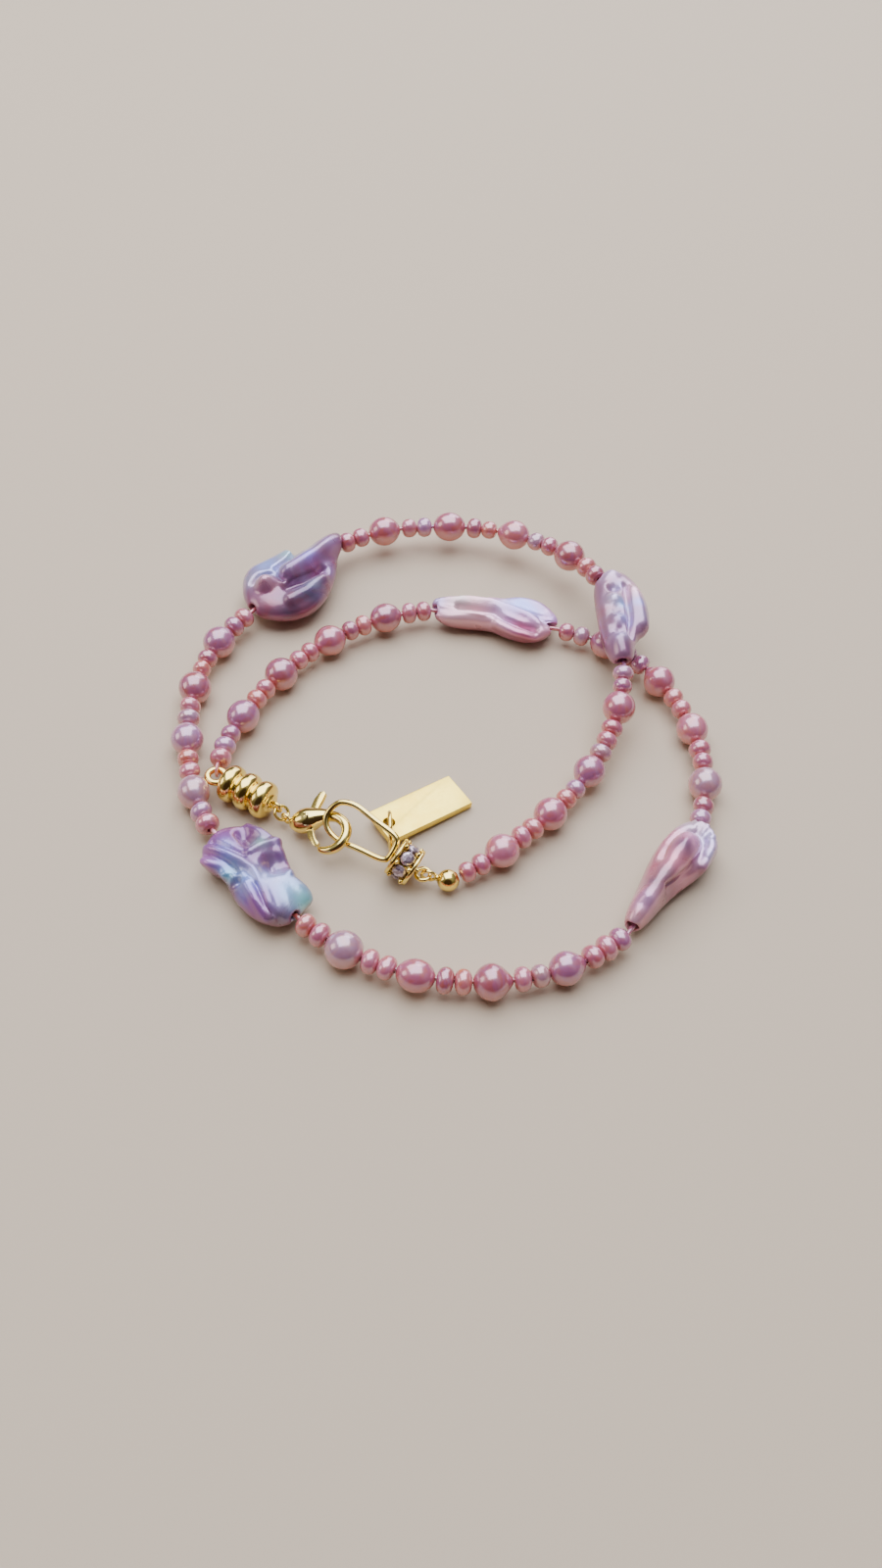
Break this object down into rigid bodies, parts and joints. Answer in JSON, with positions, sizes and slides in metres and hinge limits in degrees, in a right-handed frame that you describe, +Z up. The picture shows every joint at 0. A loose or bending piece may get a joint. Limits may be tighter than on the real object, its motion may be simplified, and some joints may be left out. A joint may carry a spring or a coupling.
{
  "type": "pearl bracelet",
  "caption": "Two-turn string of small drop pearls and button spacers with flat keshi pearls, gold lobster clasp, ribbed tube, set rondelle and a plain tag, lying in a loose spiral.",
  "frame": {"origin": "middle of the bracelet's box in plan, on the table it lies on", "axes": "+Z up out of the table, +Y towards the far side of the spiral as seen in the picture, +X to the right"},
  "size_m": [0.0682, 0.076, 0.0082],
  "materials": {
    "drop_pearl": "rose nacre",
    "spacer_pearl": "pink nacre",
    "keshi_pearl": "lilac nacre with a blue and green sheen",
    "gold": "polished gold plate",
    "set_rondelle": "polished gold plate set with pale lilac cut stones"
  },
  "bodies": {
    "bracelet": {"drop_pearl_01": "drop_pearl", "drop_pearl_02": "drop_pearl", "drop_pearl_03": "drop_pearl", "drop_pearl_04": "drop_pearl", "drop_pearl_05": "drop_pearl", "drop_pearl_06": "drop_pearl", "drop_pearl_07": "drop_pearl", "drop_pearl_08": "drop_pearl", "drop_pearl_09": "drop_pearl", "drop_pearl_10": "drop_pearl", "drop_pearl_11": "drop_pearl", "drop_pearl_12": "drop_pearl", "drop_pearl_13": "drop_pearl", "drop_pearl_14": "drop_pearl", "drop_pearl_15": "drop_pearl", "drop_pearl_16": "drop_pearl", "drop_pearl_17": "drop_pearl", "drop_pearl_18": "drop_pearl", "drop_pearl_19": "drop_pearl", "drop_pearl_20": "drop_pearl", "drop_pearl_21": "drop_pearl", "drop_pearl_22": "drop_pearl", "drop_pearl_23": "drop_pearl", "drop_pearl_24": "drop_pearl", "keshi_pearl_1": "keshi_pearl", "keshi_pearl_2": "keshi_pearl", "keshi_pearl_3": "keshi_pearl", "keshi_pearl_4": "keshi_pearl", "keshi_pearl_5": "keshi_pearl", "strand_inner": "spacer_pearl", "strand_outer": "spacer_pearl", "ribbed_tube": "gold", "clasp_link": "gold", "clasp_hook": "gold", "loop_pin": "gold", "end_ball": "gold", "tag": "gold", "tag_ring": "gold", "rondelle": "set_rondelle"},
    "lever": {"clasp_lever": "gold"}
  },
  "joints": [
    {"name": "lever_hinge", "type": "hinge", "parent": "bracelet", "child": "lever", "pos_m": [-0.01507, -0.01615, 0.00233], "axis": [-0.3895, -0.1498, 0.9088], "range_deg": [0, 20], "stiffness_Nm_per_rad": 0.0001}
  ]
}
